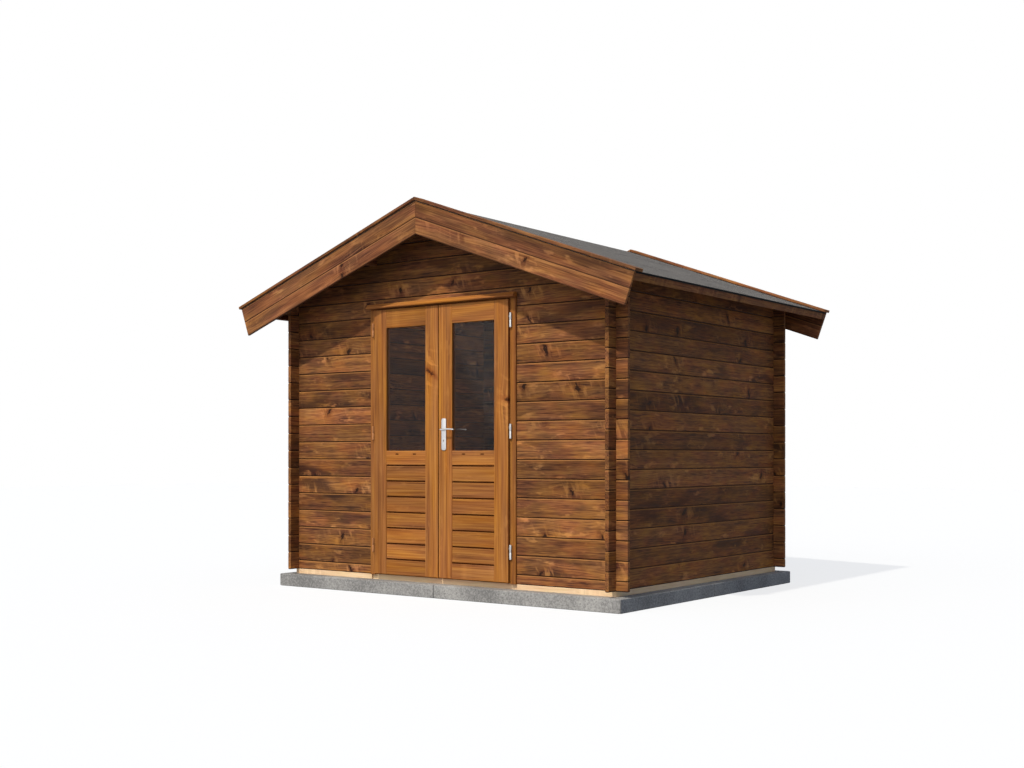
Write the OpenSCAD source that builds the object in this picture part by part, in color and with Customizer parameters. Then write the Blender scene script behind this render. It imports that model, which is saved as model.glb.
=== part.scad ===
// Garden shed of interlocking wall boards on a kerb plinth, with a felted gable roof and a half
// glazed double door. Millimetres. The origin is the middle of the plinth's underside, +X is to the
// right of someone facing the door, +Y to the back and +Z up, so the door faces -Y.

/* [Walls] */
// Width over the outer faces of the side walls
wall_w = 2820; // [2400:10:3600]
// Depth over the outer faces of the front and rear walls
wall_d = 2282; // [1800:10:3200]
// Thickness of a wall board
board_t = 28; // [22:1:40]
// Height of one course of boards
course_h = 126; // [116:1:136]
// Number of courses in a side wall
side_courses = 16; // [16:1:18]
// Rise of the bevelled top board over its course
top_board_rise = 9; // [4:1:20]
// Reach of the log ends past the wall that they cross
log_end = 85; // [50:5:120]
// Chamfer along the edges of each board
board_chamfer = 6; // [1:0.5:7]

/* [Base] */
// Height of the concrete kerbs
plinth_h = 90; // [60:5:150]
// Reach of the kerbs outside the wall faces
plinth_reach = 86; // [60:1:140]
// Width of a kerb
kerb_w = 200; // [180:5:260]
// Open joint between the two kerbs of a side
kerb_joint = 4; // [2:1:10]
// Height of the base beams under the walls
beam_h = 36; // [28:1:60]
// Width of the base beams
beam_w = 60; // [50:1:80]
// Setback of the front beam under the door
sill_setback = 14; // [4:1:24]
// Thickness of the floor boards
floor_t = 18; // [16:1:26]
// Width of a floor joist
joist_w = 45; // [36:1:60]
// Spacing of the floor joists
joist_pitch = 450; // [400:10:600]
// Gap between the floor and the side and rear walls
floor_gap = 4; // [2:1:12]

/* [Roof] */
// Slope of the roof in degrees
roof_pitch = 19.8; // [16:0.1:24]
// Level reach of the roof boards past the side walls
eave_overhang = 274; // [150:2:350]
// Reach of the roof boards past the front and rear walls
gable_overhang = 256; // [150:2:350]
// Thickness of the roof boards
roof_board_t = 18; // [16:1:24]
// Thickness of the roofing felt
felt_t = 4; // [3:0.5:6]
// Depth of the felt's folded edge at the eaves
felt_lip = 12; // [8:1:40]
// Thickness of a barge board
barge_t = 18; // [16:1:24]
// Height of one of the two planks of a barge board
barge_plank_h = 105; // [90:1:120]
// Joint between the two planks of a barge board
barge_joint = 0.2; // [0.2:0.1:4]
// Width of the cap strips over the barge boards
cap_w = 87; // [60:1:110]
// Thickness of the cap strips
cap_t = 20; // [16:1:26]
// Reach of the cap strips past the barge boards
cap_proud = 14; // [4:1:20]
// Reach of the cap strips past the felt's folded edge at the eaves
cap_end = 7; // [0:1:20]
// Thickness of the eave laths
fascia_t = 20; // [16:1:26]
// Height of the eave laths
fascia_h = 53; // [36:1:70]
// Width of the purlins
purlin_w = 45; // [36:1:60]
// Height of the ridge purlin
ridge_purlin_h = 120; // [110:1:140]
// Height of the side purlins
side_purlin_h = 110; // [105:1:130]
// Distance of the side purlins from the ridge
side_purlin_x = 620; // [500:10:760]
// Open joint between like pieces that meet, at the ridge and at the door stops
butt_joint = 1; // [1:0.5:3]
// Clearance between sloping faces that lie on each other
slope_gap = 0.2; // [0.1:0.1:0.5]

/* [Door frame] */
// Front course whose lower edge is the joint over the door
door_courses = 15; // [13:1:15]
// Height of the strip of wall between that joint and the frame
lintel_h = 57; // [40:1:80]
// Gap beside and over each leaf
leaf_gap = 5; // [5:0.5:8]
// Gap between the two leaves
meeting_gap = 7; // [7:0.5:10]
// Gap under each leaf
foot_gap = 10; // [5:1:15]
// Width of a jamb between a leaf's rebate and the cut end of the wall
frame_face = 26; // [20:1:40]
// Height of the head between the leaves' rebate and the cut edge of the wall
head_face = 15; // [12:1:40]
// Depth of the frame's groove that grips the wall
frame_grip = 20; // [12:1:30]
// Reach of the frame in front of the wall
frame_proud = 13; // [6:1:16]
// Reach of the frame behind the wall
frame_back = 12; // [8:1:20]
// Width of the stop behind a leaf's edge
stop_w = 20; // [14:1:30]
// Height of the threshold bar
threshold_h = 24; // [18:1:36]
// Height of the drip board over the door
drip_h = 32; // [24:1:50]
// Reach of the drip board in front of the frame
drip_proud = 24; // [16:1:40]
// Reach of the drip board past the frame at each end
drip_end = 10; // [0:1:30]
// Rise of the drip board over the frame
drip_rise = 4; // [0:1:10]

/* [Door leaves] */
// Width of a leaf
leaf_w = 590; // [500:1:680]
// Thickness of a leaf
leaf_t = 40; // [38:1:46]
// Reach of a leaf's face in front of the wall
leaf_proud = 30; // [18:1:32]
// Width of a stile
stile_w = 115; // [95:1:130]
// Height of the top rail
top_rail_h = 130; // [90:1:140]
// Height of the middle rail
mid_rail_h = 103; // [90:1:140]
// Height of the bottom rail
bottom_rail_h = 107; // [90:1:150]
// Number of boards in the lower panel
panel_boards = 6; // [4:1:7]
// Height of one panel board
panel_board_h = 110; // [90:1:120]
// Thickness of the panel boards
panel_t = 22; // [16:1:26]
// Setback of the panel from the leaf's face
panel_setback = 3; // [0:0.5:8]
// Thickness of the glass
glass_t = 4; // [3:1:6]
// Depth of the glass rebate in stiles and rails
rebate_w = 10; // [8:1:14]
// Thickness of the lip in front of the glass
rebate_lip = 14; // [10:1:18]
// Clearance round the glass in its rebate
glass_gap = 1.5; // [1:0.5:3]
// Length of a drain slot under the glass
drain_l = 32; // [14:1:40]
// Height of a drain slot
drain_h = 9; // [5:0.5:12]
// Depth of a drain slot
drain_deep = 12; // [6:1:16]
// Distance from the glass down to the middle of the drain slots
drain_drop = 24; // [18:1:32]
// Distance between the two drain slots of a leaf
drain_pitch = 160; // [120:5:200]

/* [Hinges] */
// Diameter of a hinge barrel
hinge_d = 16; // [12:1:18]
// Height of a hinge barrel
hinge_h = 98; // [80:1:120]
// Diameter of a hinge pin
pin_d = 7; // [5:0.5:8]
// Clearance round a hinge pin, on the radius
pin_clear = 0.05; // [0.02:0.01:0.1]
// Gap between the halves of a barrel
knuckle_gap = 0.3; // [0.2:0.1:1]
// Distance of a barrel's side from the face of the frame
hinge_stand = 2; // [1:0.5:3]
// Distance of a barrel's axis from the edge of the rebate
hinge_inset = 11; // [8:0.5:14]
// Height of the lowest hinge's middle over the foot of the leaf
hinge_low = 200; // [140:5:260]
// Height of the middle hinge's middle over the foot of the leaf
hinge_mid = 996; // [800:1:1100]
// Distance of the top hinge's middle from the top of the leaf
hinge_drop = 138; // [100:1:260]

/* [Handle] */
// Width of the handle plates
plate_w = 40; // [30:1:50]
// Height of the handle plates
plate_h = 218; // [190:1:240]
// Thickness of the handle plates
plate_t = 8; // [5:1:10]
// Corner radius of the handle plates
plate_r = 14; // [3:1:18]
// Distance of the plates' middle from the leaf's meeting edge
plate_inset = 48; // [40:1:60]
// Height of the plates' lower end over the foot of the leaf
plate_z = 872; // [840:1:900]
// Height of the lever's axis over the lower end of the plates
lever_rise = 141; // [120:1:160]
// Distance from the lever's axis down to the keyhole
key_drop = 72; // [60:1:90]
// Diameter of the keyhole
key_d = 8; // [6:0.5:10]
// Width of the keyhole's slot
key_slot_w = 4; // [3:0.5:5]
// Length of the keyhole's slot below its centre
key_slot_h = 12; // [8:0.5:16]
// Diameter of the lever's neck
neck_d = 18; // [14:1:22]
// Distance from a plate to the middle of its lever
neck_l = 42; // [35:1:50]
// Diameter of the lever
lever_d = 11; // [10:1:18]
// Length of the lever from its axis
lever_l = 122; // [100:1:135]
// Diameter of the spindle between the two levers
spindle_d = 9; // [8:0.5:10]
// Clearance round the spindle in the stile, on the radius
spindle_clear = 1.5; // [1:0.5:3]

/* [Hidden] */
$fn = 48;

// Colours of the materials
concrete = "darkgray";
raw_timber = "burlywood";
stained_timber = "saddlebrown";
door_timber = "peru";
felt_colour = "dimgray";
metal = "silver";
pane = [0.6, 0.7, 0.75, 0.35];

// Reach of a cutting shape past the surface that it cuts
over = 10;

// Levels and faces of the walls
half_w = wall_w / 2;
half_d = wall_d / 2;
base_z = plinth_h + beam_h;
half_course = course_h / 2;
quarter_course = course_h / 4;
side_top_z = base_z + side_courses * course_h + top_board_rise;
ridge_z = side_top_z + half_w * tan(roof_pitch);
side_lines = [for (i = [1 : side_courses - 1]) base_z + i * course_h];
front_lines = [for (z = [base_z + half_course : course_h : ridge_z]) z];

// The doorway
split_z = base_z + half_course + door_courses * course_h;
opening_top = split_z - lintel_h;
head_z = opening_top - head_face;
leaf_edge = meeting_gap / 2 + leaf_w;
rebate_x = leaf_edge + leaf_gap;
opening_x = rebate_x + frame_face;
frame_x = opening_x + frame_grip;
frame_y = -half_d - frame_proud;
frame_back_y = -half_d + board_t + frame_back;

// The leaves
leaf_z0 = base_z + foot_gap;
leaf_z1 = head_z - leaf_gap;
leaf_y0 = -half_d - leaf_proud;
leaf_y1 = leaf_y0 + leaf_t;
stop_y = leaf_y1 + leaf_gap;
light_x0 = meeting_gap / 2 + stile_w;
light_x1 = leaf_edge - stile_w;
panel_z0 = leaf_z0 + bottom_rail_h;
panel_z1 = panel_z0 + panel_boards * panel_board_h;
light_z0 = panel_z1 + mid_rail_h;
light_z1 = leaf_z1 - top_rail_h;
glass_y = leaf_y0 + rebate_lip;
bead_y = glass_y + glass_t;

// Hinge axes and heights
hinge_x = rebate_x + hinge_inset;
hinge_y = frame_y - hinge_stand - hinge_d / 2;
hinge_levels = [leaf_z0 + hinge_low, leaf_z0 + hinge_mid, leaf_z1 - hinge_drop];
knuckle_h = (hinge_h - knuckle_gap) / 2;

// Handle axes
handle_x = meeting_gap / 2 + plate_inset;
plate_z0 = leaf_z0 + plate_z;
lever_z = plate_z0 + lever_rise;

// Eave ends, measured along the slope from the ridge
board_end = (half_w + eave_overhang) / cos(roof_pitch);
lath_start = board_end + slope_gap;
lath_end = lath_start + fascia_t;
lip_start = lath_end + slope_gap;
lip_end = lip_start + felt_t;
// Layers of the roof, measured square to the slope from the walls' bevelled tops
board_q = slope_gap;
board_top_q = board_q + roof_board_t;
felt_q = board_top_q + slope_gap;
felt_top_q = felt_q + felt_t;
cap_q = felt_top_q + slope_gap;
roof_y = half_d + gable_overhang;
barge_y = roof_y + barge_t;

// Height of the walls' bevelled tops at distance x from the ridge
function roof_z(x) = ridge_z - abs(x) * tan(roof_pitch);

// A point of the right slope, at distance l down it and q square to it from the walls' tops
function slope_point(l, q) = [
    l * cos(roof_pitch) + q * sin(roof_pitch),
    ridge_z - l * sin(roof_pitch) + q * cos(roof_pitch)
];

// The point of level q at a vertical cut beside the ridge
function ridge_point(q, x) = [x, roof_z(x) + q / cos(roof_pitch)];

function is_line(z, lines) = len([for (l = lines) if (abs(l - z) < 0.01) l]) > 0;

function reversed(points) = [for (i = [len(points) - 1 : -1 : 0]) points[i]];

// Points up one face of a wall, with a V groove at each joint and half of one at an end on a joint
function face_points(at, into, z0, z1, lines) = concat(
    is_line(z0, lines) ? [[at + into, z0], [at, z0 + abs(into)]] : [[at, z0]],
    [for (l = lines)
        if (l > z0 + abs(into) && l < z1 - abs(into))
            each [[at, l - abs(into)], [at + into, l], [at, l + abs(into)]]],
    is_line(z1, lines) ? [[at, z1 - abs(into)], [at + into, z1]] : [[at, z1]]
);

// Section of a wall between faces a and b, whose tops may differ
function wall_section(a, b, z0, top_a, top_b, lines) = concat(
    face_points(a, board_chamfer, z0, top_a, lines),
    reversed(face_points(b, -board_chamfer, z0, top_b, lines))
);

module block(x0, x1, y0, y1, z0, z1) {
    translate([x0, y0, z0]) cube([x1 - x0, y1 - y0, z1 - z0]);
}

// Extrudes an outline in X and Z along Y
module along_y(y0, y1) {
    translate([0, y1, 0]) rotate([90, 0, 0]) linear_extrude(y1 - y0) children();
}

// Extrudes an outline in Y and Z along X
module along_x(x0, x1) {
    translate([x0, 0, 0]) rotate([90, 0, 90]) linear_extrude(x1 - x0) children();
}

module both_sides() {
    children();
    mirror([1, 0, 0]) children();
}

module both_ends() {
    children();
    mirror([0, 1, 0]) children();
}

// Base

// One kerb of the front side, with a mitred outer end
module front_kerb() {
    outer_x = half_w + plinth_reach;
    outer_y = -half_d - plinth_reach;
    linear_extrude(plinth_h) polygon([
        [kerb_joint / 2, outer_y],
        [outer_x - kerb_joint / 2, outer_y],
        [outer_x - kerb_joint / 2 - kerb_w, outer_y + kerb_w],
        [kerb_joint / 2, outer_y + kerb_w]
    ]);
}

// One kerb of the right side, with a mitred front end
module side_kerb() {
    outer_x = half_w + plinth_reach;
    outer_y = -half_d - plinth_reach;
    linear_extrude(plinth_h) polygon([
        [outer_x, outer_y],
        [outer_x, -kerb_joint / 2],
        [outer_x - kerb_w, -kerb_joint / 2],
        [outer_x - kerb_w, outer_y + kerb_w]
    ]);
}

module plinth_front() {
    color(concrete) both_sides() front_kerb();
}

module plinth_rear() {
    color(concrete) mirror([0, 1, 0]) both_sides() front_kerb();
}

module plinth_right() {
    color(concrete) both_ends() side_kerb();
}

module plinth_left() {
    color(concrete) mirror([1, 0, 0]) both_ends() side_kerb();
}

// The front beam, which the rear one mirrors
module end_beam() {
    block(-half_w, half_w, -half_d, beam_w - half_d, plinth_h, base_z);
}

// Front and rear beams, the front one set back under the door
module base_beams_ends() {
    color(raw_timber) {
        difference() {
            end_beam();
            block(-frame_x, frame_x, -half_d - over, sill_setback - half_d, plinth_h - over, base_z + over);
        }
        mirror([0, 1, 0]) end_beam();
    }
}

module base_beams_sides() {
    color(raw_timber) both_sides()
        block(half_w - beam_w, half_w, beam_w - half_d, half_d - beam_w, plinth_h, base_z);
}

module floor_joists() {
    reach = floor((half_w - beam_w - joist_w) / joist_pitch);
    color(raw_timber) for (i = [-reach : reach])
        translate([i * joist_pitch, 0, 0])
            block(-joist_w / 2, joist_w / 2, beam_w - half_d, half_d - beam_w, plinth_h, base_z);
}

module floor_boards() {
    edge_x = half_w - board_t - floor_gap;
    edge_y = half_d - board_t - floor_gap;
    color(raw_timber) block(-edge_x, edge_x, frame_back_y, edge_y, base_z, base_z + floor_t);
}

// Walls

// Room for the side boards where they cross an end wall
module side_board_notches() {
    for (i = [0 : side_courses - 1])
        both_sides()
            block(half_w - board_t, half_w, -half_d - over, half_d + over,
                base_z + quarter_course + i * course_h,
                base_z + quarter_course + half_course + i * course_h);
}

// Room for the front and rear boards where they cross a side wall
module end_board_notches() {
    for (i = [0 : side_courses])
        both_ends()
            block(-half_w - over, half_w + over, half_d - board_t, half_d,
                base_z - quarter_course + i * course_h,
                base_z + quarter_course + i * course_h);
}

// The ridge purlin's outline, in X and Z, with its top raised for a cut
module ridge_purlin_outline(rise = 0) {
    half = purlin_w / 2;
    polygon([
        [-half, ridge_z - ridge_purlin_h], [half, ridge_z - ridge_purlin_h],
        [half, roof_z(half) + rise], [0, ridge_z + rise], [-half, roof_z(half) + rise]
    ]);
}

// The right side purlin's outline, in X and Z, with its top raised for a cut
module side_purlin_outline(rise = 0) {
    x0 = side_purlin_x - purlin_w / 2;
    x1 = side_purlin_x + purlin_w / 2;
    foot = roof_z(side_purlin_x) - side_purlin_h;
    polygon([[x0, foot], [x1, foot], [x1, roof_z(x1) + rise], [x0, roof_z(x0) + rise]]);
}

// What lies under the roof boards and round the purlins, from the front wall to the rear one
module under_roof() {
    end_x = half_w + log_end;
    difference() {
        along_y(-half_d - over, half_d + over) polygon([
            [-end_x, 0], [end_x, 0], [end_x, roof_z(end_x)], [0, ridge_z], [-end_x, roof_z(end_x)]
        ]);
        along_y(-half_d - 2 * over, half_d + 2 * over) {
            ridge_purlin_outline(over);
            both_sides() side_purlin_outline(over);
        }
    }
}

// A straight stretch of the front wall between two heights
module front_boards(x0, x1, z0, z1) {
    along_x(x0, x1) polygon(wall_section(-half_d, board_t - half_d, z0, z1, z1, front_lines));
}

module front_wall_right() {
    color(stained_timber) difference() {
        front_boards(opening_x, half_w + log_end, base_z, split_z);
        side_board_notches();
    }
}

module front_wall_left() {
    color(stained_timber) mirror([1, 0, 0]) front_wall_right();
}

module front_wall_lintel() {
    color(stained_timber) front_boards(-opening_x, opening_x, opening_top, split_z);
}

// An end wall from a joint or the base up to the roof, with room for the purlins
module end_wall(z0) {
    difference() {
        intersection() {
            front_boards(-half_w - log_end, half_w + log_end, z0, ridge_z);
            under_roof();
        }
        side_board_notches();
    }
}

module front_gable() {
    color(stained_timber) end_wall(split_z);
}

module rear_wall() {
    color(stained_timber) mirror([0, 1, 0]) end_wall(base_z);
}

module right_wall() {
    inner = half_w - board_t;
    color(stained_timber) difference() {
        along_y(-half_d - log_end, half_d + log_end)
            polygon(wall_section(inner, half_w, base_z, roof_z(inner), side_top_z, side_lines));
        end_board_notches();
    }
}

module left_wall() {
    color(stained_timber) mirror([1, 0, 0]) right_wall();
}

// Roof

module ridge_purlin() {
    color(stained_timber) along_y(-roof_y, roof_y) ridge_purlin_outline();
}

module side_purlins() {
    color(stained_timber) along_y(-roof_y, roof_y) both_sides() side_purlin_outline();
}

// A piece of the right slope between two levels, from a vertical cut at the ridge to a square end
module slope_piece(q0, q1, end, cut, y0, y1) {
    along_y(y0, y1) polygon([
        ridge_point(q0, cut), slope_point(end, q0), slope_point(end, q1), ridge_point(q1, cut)
    ]);
}

module roof_boards_right() {
    color(stained_timber) slope_piece(board_q, board_top_q, board_end, 0, -roof_y, roof_y);
}

module roof_boards_left() {
    color(stained_timber) mirror([1, 0, 0]) roof_boards_right();
}

module roof_felt_right() {
    lip_q = felt_top_q - felt_lip;
    color(felt_colour) union() {
        slope_piece(felt_q, felt_top_q, lip_start, 0, -barge_y, barge_y);
        along_y(-roof_y, roof_y) polygon([
            slope_point(lip_start, lip_q), slope_point(lip_end, lip_q),
            slope_point(lip_end, felt_top_q), slope_point(lip_start, felt_top_q)
        ]);
    }
}

module roof_felt_left() {
    color(felt_colour) mirror([1, 0, 0]) roof_felt_right();
}

module eave_laths() {
    foot_q = board_top_q - fascia_h;
    color(stained_timber) both_sides() along_y(-roof_y, roof_y) polygon([
        slope_point(lath_start, foot_q), slope_point(lath_end, foot_q),
        slope_point(lath_end, board_top_q), slope_point(lath_start, board_top_q)
    ]);
}

// Two planks a slope at the front, one over the other
module front_barge_boards() {
    step = barge_plank_h + barge_joint;
    color(stained_timber) both_sides() for (i = [0, 1])
        slope_piece(board_top_q - i * step - barge_plank_h, board_top_q - i * step,
            lath_end, butt_joint / 2, -barge_y, -roof_y);
}

module rear_barge_boards() {
    color(stained_timber) mirror([0, 1, 0]) front_barge_boards();
}

module front_cap_strips() {
    edge = -barge_y - cap_proud;
    color(stained_timber) both_sides()
        slope_piece(cap_q, cap_q + cap_t, lip_end + cap_end, butt_joint / 2, edge, edge + cap_w);
}

module rear_cap_strips() {
    color(stained_timber) mirror([0, 1, 0]) front_cap_strips();
}

// Door frame

module door_jambs() {
    color(door_timber) both_sides() translate([0, 0, base_z]) linear_extrude(head_z - base_z) polygon([
        [rebate_x, frame_y], [frame_x, frame_y],
        [frame_x, -half_d], [opening_x, -half_d],
        [opening_x, board_t - half_d], [frame_x, board_t - half_d],
        [frame_x, frame_back_y], [rebate_x, frame_back_y]
    ]);
}

module door_head() {
    top = opening_top + frame_grip;
    color(door_timber) union() {
        block(-opening_x, opening_x, frame_y, frame_back_y, head_z, opening_top);
        block(-frame_x, frame_x, frame_y, -half_d, head_z, top);
        block(-frame_x, frame_x, board_t - half_d, frame_back_y, head_z, top);
    }
}

// Stops behind the leaves: one on each jamb and one under the head
module door_stops() {
    side_top = head_z - stop_w - butt_joint;
    color(door_timber) {
        both_sides() block(rebate_x - stop_w, rebate_x, stop_y, frame_back_y, base_z, side_top);
        block(-rebate_x, rebate_x, stop_y, frame_back_y, head_z - stop_w, head_z);
    }
}

module door_threshold() {
    edge = rebate_x - stop_w;
    color(door_timber) block(-edge, edge, stop_y, frame_back_y, base_z, base_z + threshold_h);
}

// Drip board, with a top that sheds water
module door_drip_board() {
    top = opening_top + frame_grip + drip_rise;
    edge = frame_x + drip_end;
    color(door_timber) along_x(-edge, edge) polygon([
        [frame_y - drip_proud, top - drip_h], [frame_y, top - drip_h],
        [frame_y, top], [frame_y - drip_proud, top - drip_rise]
    ]);
}

// Hinges

module barrel(level, d, h) {
    translate([hinge_x, hinge_y, level]) cylinder(d = d, h = h);
}

// Lower half of each barrel, its tab on the jamb, and the pin that stands in it
module hinge_pins_right() {
    tab = hinge_d / 2;
    color(metal) for (z = hinge_levels) union() {
        barrel(z - hinge_h / 2, hinge_d, knuckle_h);
        barrel(z - hinge_h / 2, pin_d, hinge_h);
        block(hinge_x - tab / 2, hinge_x + tab / 2, hinge_y, frame_y,
            z - hinge_h / 2, z - hinge_h / 2 + knuckle_h);
    }
}

module hinge_pins_left() {
    color(metal) mirror([1, 0, 0]) hinge_pins_right();
}

// Upper half of each barrel with its tab on the leaf's edge
module right_knuckles() {
    tab = hinge_d / 2;
    color(metal) for (z = hinge_levels) difference() {
        union() {
            barrel(z + knuckle_gap / 2, hinge_d, knuckle_h);
            block(leaf_edge, hinge_x, hinge_y - tab / 2, hinge_y + tab / 2,
                z + knuckle_gap / 2, z + hinge_h / 2);
        }
        barrel(z - over, pin_d + 2 * pin_clear, hinge_h);
    }
}

module left_knuckles() {
    color(metal) mirror([1, 0, 0]) right_knuckles();
}

// Door leaves

// The glass rebate, open at the back of the leaf
module glass_rebate() {
    block(light_x0 - rebate_w, light_x1 + rebate_w, glass_y, leaf_y1 + over,
        light_z0 - rebate_w, light_z1 + rebate_w);
}

module stiles() {
    difference() {
        for (x = [meeting_gap / 2, light_x1])
            block(x, x + stile_w, leaf_y0, leaf_y1, leaf_z0, leaf_z1);
        glass_rebate();
    }
}

// Two slots in the middle rail that drain the glass rebate
module drain_slots() {
    half = (drain_l - drain_h) / 2;
    for (side = [-1, 1])
        translate([(light_x0 + light_x1 + side * drain_pitch) / 2, leaf_y0 + drain_deep,
            light_z0 - drain_drop])
            rotate([90, 0, 0]) linear_extrude(drain_deep + over) {
                square([2 * half, drain_h], center = true);
                for (x = [-half, half]) translate([x, 0]) circle(d = drain_h);
            }
}

module rails() {
    difference() {
        for (z = [[leaf_z0, panel_z0], [panel_z1, light_z0], [light_z1, leaf_z1]])
            block(light_x0, light_x1, leaf_y0, leaf_y1, z[0], z[1]);
        glass_rebate();
        drain_slots();
    }
}

// The lower panel, grooved at each joint between its boards and the rails
module panel() {
    front = leaf_y0 + panel_setback;
    joints = [for (i = [0 : panel_boards]) panel_z0 + i * panel_board_h];
    along_x(light_x0, light_x1)
        polygon(wall_section(front, front + panel_t, panel_z0, panel_z1, panel_z1, joints));
}

module glass() {
    edge = rebate_w - glass_gap;
    block(light_x0 - edge, light_x1 + edge, glass_y, bead_y, light_z0 - edge, light_z1 + edge);
}

// Four beads that hold the glass from behind
module beads() {
    block(light_x0 - rebate_w, light_x0, bead_y, leaf_y1, light_z0 - rebate_w, light_z1 + rebate_w);
    block(light_x1, light_x1 + rebate_w, bead_y, leaf_y1, light_z0 - rebate_w, light_z1 + rebate_w);
    for (z = [light_z0 - rebate_w, light_z1])
        block(light_x0 + glass_gap, light_x1 - glass_gap, bead_y, leaf_y1, z, z + rebate_w);
}

module right_stiles() {
    color(door_timber) difference() {
        stiles();
        translate([handle_x, leaf_y1 + over, lever_z]) rotate([90, 0, 0])
            cylinder(d = spindle_d + 2 * spindle_clear, h = leaf_t + 2 * over);
    }
}

module left_stiles() {
    color(door_timber) mirror([1, 0, 0]) stiles();
}

module right_rails() {
    color(door_timber) rails();
}

module left_rails() {
    color(door_timber) mirror([1, 0, 0]) rails();
}

module right_panel() {
    color(door_timber) panel();
}

module left_panel() {
    color(door_timber) mirror([1, 0, 0]) panel();
}

module right_glass() {
    color(pane) glass();
}

module left_glass() {
    color(pane) mirror([1, 0, 0]) glass();
}

module right_beads() {
    color(door_timber) beads();
}

module left_beads() {
    color(door_timber) mirror([1, 0, 0]) beads();
}

// Handle

// Outline of a handle plate round the lever's axis, with the bore of the neck and the keyhole
module plate_outline() {
    foot = -lever_rise;
    difference() {
        union() {
            translate([plate_r - plate_w / 2, foot]) square([plate_w - 2 * plate_r, plate_h]);
            translate([-plate_w / 2, foot + plate_r]) square([plate_w, plate_h - 2 * plate_r]);
            for (x = [plate_r - plate_w / 2, plate_w / 2 - plate_r])
                for (y = [foot + plate_r, foot + plate_h - plate_r])
                    translate([x, y]) circle(plate_r);
        }
        circle(d = neck_d + 2 * pin_clear);
        translate([0, -key_drop]) circle(d = key_d);
        translate([-key_slot_w / 2, -key_drop - key_slot_h]) square([key_slot_w, key_slot_h]);
    }
}

module handle_plates() {
    color(metal) for (y = [leaf_y0, leaf_y1 + plate_t])
        translate([handle_x, y, lever_z]) rotate([90, 0, 0]) linear_extrude(plate_t) plate_outline();
}

// One lever: its neck through the plate and its arm with a tapered tip
module lever(tip) {
    body = lever_l - tip;
    rotate([90, 0, 0]) cylinder(d = neck_d, h = plate_t + neck_l);
    translate([0, -plate_t - neck_l, 0]) rotate([0, 90, 0]) {
        translate([0, 0, -neck_d / 2]) cylinder(d = lever_d, h = body + neck_d / 2);
        translate([0, 0, body]) cylinder(d1 = lever_d, d2 = lever_d - tip, h = tip);
    }
}

// Both levers on one spindle through the leaf
module handle_levers() {
    tip = lever_d / 5;
    color(metal) translate([handle_x, 0, lever_z]) union() {
        translate([0, leaf_y0, 0]) lever(tip);
        translate([0, leaf_y1, 0]) mirror([0, 1, 0]) lever(tip);
        translate([0, leaf_y1, 0]) rotate([90, 0, 0]) cylinder(d = spindle_d, h = leaf_t);
    }
}

plinth_front();
plinth_rear();
plinth_left();
plinth_right();
base_beams_ends();
base_beams_sides();
floor_joists();
floor_boards();
front_wall_left();
front_wall_right();
front_wall_lintel();
front_gable();
rear_wall();
left_wall();
right_wall();
ridge_purlin();
side_purlins();
roof_boards_left();
roof_boards_right();
roof_felt_left();
roof_felt_right();
eave_laths();
front_barge_boards();
rear_barge_boards();
front_cap_strips();
rear_cap_strips();
door_jambs();
door_head();
door_stops();
door_threshold();
door_drip_board();
hinge_pins_left();
hinge_pins_right();
left_stiles();
left_rails();
left_panel();
left_glass();
left_beads();
left_knuckles();
right_stiles();
right_rails();
right_panel();
right_glass();
right_beads();
right_knuckles();
handle_plates();
handle_levers();
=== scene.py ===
# %% [markdown]
# # A wooden garden shed, dressed in Blender
# The CAD frame gives this shed its sizes and its moving bodies. This lesson lays real boards, felt and
# fittings over it and gives each piece a finish made of nodes. The frame is loaded first.

# %% Load the frame
import math
import random

import bmesh
import bpy
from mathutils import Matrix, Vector


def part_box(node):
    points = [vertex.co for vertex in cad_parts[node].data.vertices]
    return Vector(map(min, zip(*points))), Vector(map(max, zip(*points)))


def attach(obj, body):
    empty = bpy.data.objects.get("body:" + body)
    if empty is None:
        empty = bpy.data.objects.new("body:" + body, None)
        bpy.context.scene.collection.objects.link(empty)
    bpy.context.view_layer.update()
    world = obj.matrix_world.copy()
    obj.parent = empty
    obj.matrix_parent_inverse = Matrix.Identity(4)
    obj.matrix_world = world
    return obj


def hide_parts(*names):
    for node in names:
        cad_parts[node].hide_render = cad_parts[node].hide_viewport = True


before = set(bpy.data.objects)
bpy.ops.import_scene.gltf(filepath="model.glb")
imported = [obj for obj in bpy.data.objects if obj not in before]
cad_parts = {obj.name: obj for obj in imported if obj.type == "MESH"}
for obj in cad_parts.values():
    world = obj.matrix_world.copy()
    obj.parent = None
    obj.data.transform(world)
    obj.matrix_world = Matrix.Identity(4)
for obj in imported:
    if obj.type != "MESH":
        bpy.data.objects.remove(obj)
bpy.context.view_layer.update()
print("CAD nodes:", len(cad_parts))

# %% [markdown]
# ## Sizes that every piece shares
# A shed of interlocking boards is set out in courses, so the height of one course and the thickness of
# a board decide nearly everything. The faces themselves are read from the CAD nodes, which keeps the
# boards on the frame if a size there changes.

# %% Sizes in metres
COURSE = 0.126
SIDE_COURSES = 16
END_COURSES = 15
TOP_TRIM = 0.009
BOARD = 0.028
LOG_END = 0.085
PITCH = math.radians(19.8)
X = Vector((1, 0, 0))
Y = Vector((0, 1, 0))
Z = Vector((0, 0, 1))

half_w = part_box("right_wall")[1].x
half_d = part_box("base_beams_ends")[1].y
base_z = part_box("right_wall")[0].z
side_top = base_z + SIDE_COURSES * COURSE + TOP_TRIM
ridge_z = side_top + half_w * math.tan(PITCH)
print("walls", round(2 * half_w, 3), "by", round(2 * half_d, 3), "ridge at", round(ridge_z, 3))

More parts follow.
